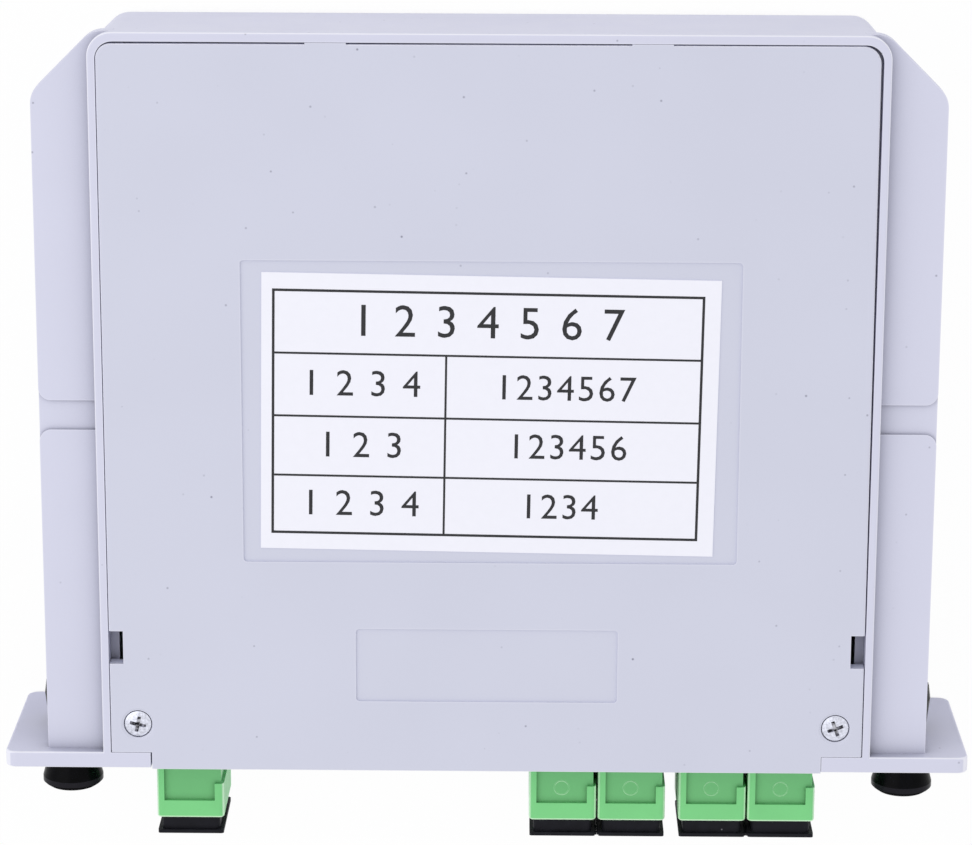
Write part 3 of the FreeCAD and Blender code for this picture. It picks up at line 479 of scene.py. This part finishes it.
materials = {
    "housing": makeAbs("absMouldedTray"),
    "cover": makeAbs("absMouldedCover"),
    "label": makePaper(),
    "toner": makeToner(),
    "screw": makeNickel(),
    "adapter": makeGreen(),
    "cap": makeBlack("polyethyleneSoftBlack"),
    "rivet": makeBlack("nylonMouldedBlack"),
    "holder": makeInside("pbtNaturalMoulded"),
    "ceramic": makeInside("zirconiaPolished"),
    "plug": makeInside("pbtGreenMoulded"),
    "boot": makeInside("elastomerGreenMoulded"),
    "seal": makeInside("siliconeBlackMoulded"),
    "fibre": makeInside("pvcBufferExtruded"),
    "module": makeDrawnSteel(),
}
for part in frame["record"]["subparts"]:
    mesh = nodes[part["node"]].data
    mesh.materials.clear()
    mesh.materials.append(materials["cover" if part["node"] == "cover" else part["material_slot"]])
print("materials on the frame,", len(materials), "made")


def finishPiece(name, bm, material, smooth=False, body="root"):
    # turns a bmesh in millimetres into a piece that rides on a body of the cassette
    bmesh.ops.scale(bm, vec=Vector((mm, mm, mm)), verts=bm.verts)
    mesh = bpy.data.meshes.new(name)
    bm.to_mesh(mesh)
    bm.free()
    mesh.materials.append(material)
    for polygon in mesh.polygons:
        polygon.use_smooth = smooth
    piece = bpy.data.objects.new(name, mesh)
    bpy.context.scene.collection.objects.link(piece)
    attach(piece, body)
    return piece


# The label's ruled table, printed: one column over a row of two columns. Places are in
# millimetres from the middle of the label, along its own edges.
labelPrint = {
    "turn": -0.8, "left": -28.6, "right": 27.9, "top": 16.6, "bottom": -16.65,
    "rows": [8.0, -0.5, -8.6], "divider": -5.75,
    "outerLine": 0.34, "innerLine": 0.28, "thickness": 0.015,
}


def labelPlace():
    # where the label's middle lies, and its top face, in millimetres
    low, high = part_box("label")
    middle = (low + high) / 2 / mm
    return Matrix.Translation((middle.x, middle.y, high.z / mm)) @ Matrix.Rotation(
        math.radians(labelPrint["turn"]), 4, "Z")


def makeTable():
    s = labelPrint
    outer = s["outerLine"]
    inner = s["innerLine"] / 2
    columns = [s["left"], s["left"] + outer, s["divider"] - inner, s["divider"] + inner,
               s["right"] - outer, s["right"]]
    rows = [s["bottom"], s["bottom"] + outer]
    for row in sorted(s["rows"]):
        rows += [row - inner, row + inner]
    rows += [s["top"] - outer, s["top"]]
    bm = bmesh.new()
    across = len(columns) - 1
    up = len(rows) - 1
    bmesh.ops.create_grid(bm, x_segments=across, y_segments=up, size=1.0)
    for vert in bm.verts:  # move the even grid's lines to the print's edges
        vert.co.x = columns[round((vert.co.x + 1) / 2 * across)]
        vert.co.y = rows[round((vert.co.y + 1) / 2 * up)]
    blank = []
    for face in bm.faces:
        middle = face.calc_center_median()
        column = sum(middle.x > edge for edge in columns) - 1
        row = sum(middle.y > edge for edge in rows) - 1
        inHeading = row == up - 2
        onColumnLine = column in (0, across - 1) or (column == 2 and not inHeading)
        if not onColumnLine and row % 2 == 1:
            blank.append(face)
    bmesh.ops.delete(bm, geom=blank, context="FACES")
    raised = bmesh.ops.extrude_face_region(bm, geom=bm.faces[:])["geom"]
    lifted = [item for item in raised if isinstance(item, bmesh.types.BMVert)]
    bmesh.ops.translate(bm, vec=Vector((0, 0, s["thickness"])), verts=lifted)
    bmesh.ops.recalc_face_normals(bm, faces=bm.faces)
    bmesh.ops.transform(bm, matrix=labelPlace(), verts=bm.verts)
    return finishPiece("label_table", bm, materials["toner"])


# Plain digits in the table's cells: text, height and spacing of the digits, and the middle
# of each line, in millimetres
labelDigits = {
    "thickness": 0.015, "stroke": -0.012,
    "lines": [
        {"text": "1234567", "height": 4.3, "pitch": 5.45, "x": -0.3, "y": 12.3},
        {"text": "1234", "height": 3.5, "pitch": 4.4, "x": -16.8, "y": 3.85},
        {"text": "123", "height": 3.5, "pitch": 4.4, "x": -16.8, "y": -4.5},
        {"text": "1234", "height": 3.5, "pitch": 4.4, "x": -16.8, "y": -12.5},
        {"text": "1234567", "height": 3.4, "pitch": 2.7, "x": 10.0, "y": 3.7},
        {"text": "123456", "height": 3.4, "pitch": 2.7, "x": 10.4, "y": -4.3},
        {"text": "1234", "height": 3.4, "pitch": 2.7, "x": 9.5, "y": -12.5},
    ],
}


def makeDigits():
    s = labelDigits
    bm = bmesh.new()
    for line in s["lines"]:
        start = line["x"] - (len(line["text"]) - 1) * line["pitch"] / 2
        for index, character in enumerate(line["text"]):
            curve = bpy.data.curves.new("digit", "FONT")
            curve.body = character
            curve.align_x = "CENTER"
            curve.align_y = "CENTER"
            curve.size = line["height"] / 0.7  # a digit is about 0.7 of the font's size
            curve.offset = s["stroke"]
            curve.extrude = s["thickness"] / 2
            curve.resolution_u = 3
            letter = bpy.data.objects.new("digit", curve)
            mesh = bpy.data.meshes.new_from_object(letter)
            mesh.transform(Matrix.Translation((start + index * line["pitch"], line["y"],
                                               s["thickness"] / 2)))
            bm.from_mesh(mesh)
            bpy.data.objects.remove(letter)
            bpy.data.curves.remove(curve)
            bpy.data.meshes.remove(mesh)
    bmesh.ops.remove_doubles(bm, verts=bm.verts, dist=0.0005)
    bmesh.ops.transform(bm, matrix=labelPlace(), verts=bm.verts)
    return finishPiece("label_digits", bm, materials["toner"])


makeTable()
makeDigits()
print("label printed")


# Marks of the ejector pins in the clip recess of the output adapters; floor is the height of
# the recess's floor
ejectorRing = {"radius": 1.0, "rise": 0.05, "fromMouth": 4.6, "offset": -0.12, "floor": 18.4,
               "wires": {"output_1": 0.13, "output_2": 0.1, "output_3": 0.08, "output_4": 0.08},
               "around": 32, "section": 8}


def makeEjectorRing(port):
    s = ejectorRing
    wire = s["wires"][port]
    low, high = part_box("adapter_front_" + port)
    middleX = (low.x + high.x) / 2 / mm + s["offset"]
    bm = bmesh.new()
    turned = Matrix.Translation((s["radius"], 0, 0)) @ Matrix.Rotation(math.radians(90), 4, "X")
    bmesh.ops.create_circle(bm, segments=s["section"], radius=wire, matrix=turned)
    bmesh.ops.spin(bm, geom=bm.verts[:] + bm.edges[:], cent=(0, 0, 0), axis=(0, 0, 1),
                   angle=math.tau, steps=s["around"], use_merge=True)
    bmesh.ops.remove_doubles(bm, verts=bm.verts, dist=0.001)
    bmesh.ops.recalc_face_normals(bm, faces=bm.faces)
    bmesh.ops.translate(bm, verts=bm.verts,
                        vec=Vector((middleX, low.y / mm + s["fromMouth"],
                                    s["floor"] + s["rise"] - wire)))
    return finishPiece("ejector_ring_" + port, bm, materials["adapter"], smooth=True)


for port in ports[1:]:
    makeEjectorRing(port)
print("adapters marked")


# The two adapters of a pair hang together by a web deep in the slit between them. The lips of
# their dust caps reach across until they nearly touch: black pieces that stand in for the shade
# in the slit between the caps.
pairClosing = {"webHalf": 0.12, "webLow": 7.0, "webHigh": 12.5, "webFront": 0.5, "webRear": -50.0,
               "webRound": 0.1, "lipThickness": 0.4, "lipHeight": 12.2, "lipGap": 0.01,
               "lipRoot": 0.1, "lipInset": 0.05, "lipRound": 0.06}


def makeBar(name, low, high, rounding, material, body="root"):
    # a bar between two corners, with rounded edges
    bm = bmesh.new()
    bmesh.ops.create_cube(bm, size=1.0)
    low = Vector(low)
    high = Vector(high)
    bmesh.ops.scale(bm, vec=high - low, verts=bm.verts)
    bmesh.ops.translate(bm, vec=(low + high) / 2, verts=bm.verts)
    bmesh.ops.bevel(bm, geom=bm.edges[:], offset=rounding, affect="EDGES", segments=3, profile=0.5,
                    material=-1)
    return finishPiece(name, bm, material, smooth=True, body=body)


def closePair(first, second):
    s = pairClosing
    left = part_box("adapter_front_" + first)[1].x / mm
    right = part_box("adapter_front_" + second)[0].x / mm
    middle = (left + right) / 2
    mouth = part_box("adapter_front_" + first)[0].y / mm
    makeBar("pair_web_" + first, (middle - s["webHalf"], mouth + s["webFront"], s["webLow"]),
            (middle + s["webHalf"], s["webRear"], s["webHigh"]), s["webRound"], materials["adapter"])
    # black lips as a dark stand-in for the shade between the caps
    for port, side in ((first, -1), (second, 1)):
        low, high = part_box("dust_cap_" + port)
        edge = high.x / mm if side < 0 else low.x / mm
        ends = sorted((edge + side * s["lipRoot"], middle + side * s["lipGap"]))
        centre = (low.z + high.z) / 2 / mm
        front = low.y / mm + s["lipInset"]
        makeBar("cap_lip_" + port, (ends[0], front, centre - s["lipHeight"] / 2),
                (ends[1], front + s["lipThickness"], centre + s["lipHeight"] / 2),
                s["lipRound"], materials["cap"], body="cap_" + port)


closePair("output_1", "output_2")
closePair("output_3", "output_4")
print("pairs closed")


# The camera looks down from behind the middle of the cassette
view = {"location": (3.966, 121.051, 485.485), "turn": (-14.888, 0.576, 0.216),
        "lens": 134.17, "sensor": 36.0, "clipStart": 10.0}


def makeCamera():
    data = bpy.data.cameras.new("camera")
    data.lens = view["lens"]
    data.sensor_width = view["sensor"]
    data.clip_start = view["clipStart"] * mm
    camera = bpy.data.objects.new("camera", data)
    camera.location = Vector(view["location"]) * mm
    camera.rotation_euler = [math.radians(angle) for angle in view["turn"]]
    bpy.context.scene.collection.objects.link(camera)
    bpy.context.scene.camera = camera


# Plain studio: a white world, one large soft lamp above the rear left and a pale floor, which
# looks white except close to the cassette
studio = {"worldStrength": 0.89, "lampWatts": 0.7, "lampSize": 600.0,
          "lampPlace": (-380.0, 200.0, 480.0), "lampAim": (0.0, 0.0, 12.0),
          "floorColour": "F4F4F6", "floorReach": 9.0, "floorShut": 0.2, "floorOpen": 0.5,
          "floorWhite": 0.97, "floorSize": 4000.0, "floorDrop": 0.1}
white = (1.0, 1.0, 1.0, 1.0)


def seenDirectly(tree, rays):
    # 1 for what the camera, a reflection or a clear piece shows, 0 for light on the object
    shown = addNode(tree, "Math", {"operation": "MAXIMUM"},
                    {0: rays.outputs["Is Camera Ray"], 1: rays.outputs["Is Glossy Ray"]})
    shown = addNode(tree, "Math", {"operation": "MAXIMUM"},
                    {0: shown.outputs[0], 1: rays.outputs["Is Transmission Ray"]})
    return shown.outputs[0]


def makeWorld():
    world = bpy.data.worlds.new("studio")
    bpy.context.scene.world = world
    world.use_nodes = True
    tree = world.node_tree
    tree.nodes.clear()
    light = addNode(tree, "Background", {"Color": white, "Strength": studio["worldStrength"]})
    seen = addNode(tree, "Background", {"Color": white, "Strength": 1.0})
    rays = addNode(tree, "LightPath")
    pick = addNode(tree, "MixShader", {}, {0: seenDirectly(tree, rays), 1: light.outputs[0],
                                           2: seen.outputs[0]})
    output = tree.nodes.new("ShaderNodeOutputWorld")
    tree.links.new(pick.outputs[0], output.inputs["Surface"])


def makeFloor():
    s = studio
    material = newMaterial("paperSweep")[0]
    tree = material.node_tree
    paper = addNode(tree, "BsdfDiffuse", {"Color": linearColour(s["floorColour"])})
    rays = addNode(tree, "LightPath")
    sky = addNode(tree, "AmbientOcclusion", {"samples": 8, "Distance": s["floorReach"] * mm})
    clear = addNode(tree, "MapRange", {"From Min": s["floorShut"], "From Max": s["floorOpen"],
                                       "To Max": s["floorWhite"]}, {"Value": sky.outputs["AO"]})
    bright = addNode(tree, "Emission", {"Color": white, "Strength": 1.0})
    share = addNode(tree, "Math", {"operation": "MULTIPLY"},
                    {0: seenDirectly(tree, rays), 1: clear.outputs[0]})
    mix = addNode(tree, "MixShader", {}, {0: share.outputs[0], 1: paper.outputs[0],
                                          2: bright.outputs[0]})
    closeMaterial(tree, mix.outputs[0])
    bm = bmesh.new()
    bmesh.ops.create_grid(bm, x_segments=1, y_segments=1, size=s["floorSize"] * mm / 2)
    height = cadBox[0][2] - s["floorDrop"] * mm
    bmesh.ops.translate(bm, vec=Vector((0, 0, height)), verts=bm.verts)
    mesh = bpy.data.meshes.new("floor")
    bm.to_mesh(mesh)
    bm.free()
    mesh.materials.append(material)
    floor = bpy.data.objects.new("floor", mesh)
    bpy.context.scene.collection.objects.link(floor)


def makeLamp():
    data = bpy.data.lights.new("softbox", "AREA")
    data.energy = studio["lampWatts"]
    data.size = studio["lampSize"] * mm
    lamp = bpy.data.objects.new("softbox", data)
    place = Vector(studio["lampPlace"]) * mm
    aim = Vector(studio["lampAim"]) * mm
    lamp.location = place
    lamp.rotation_euler = (aim - place).to_track_quat("-Z", "Y").to_euler()
    bpy.context.scene.collection.objects.link(lamp)


makeCamera()
makeWorld()
makeFloor()
makeLamp()
bpy.context.scene.view_settings.view_transform = "Standard"
print("studio set")
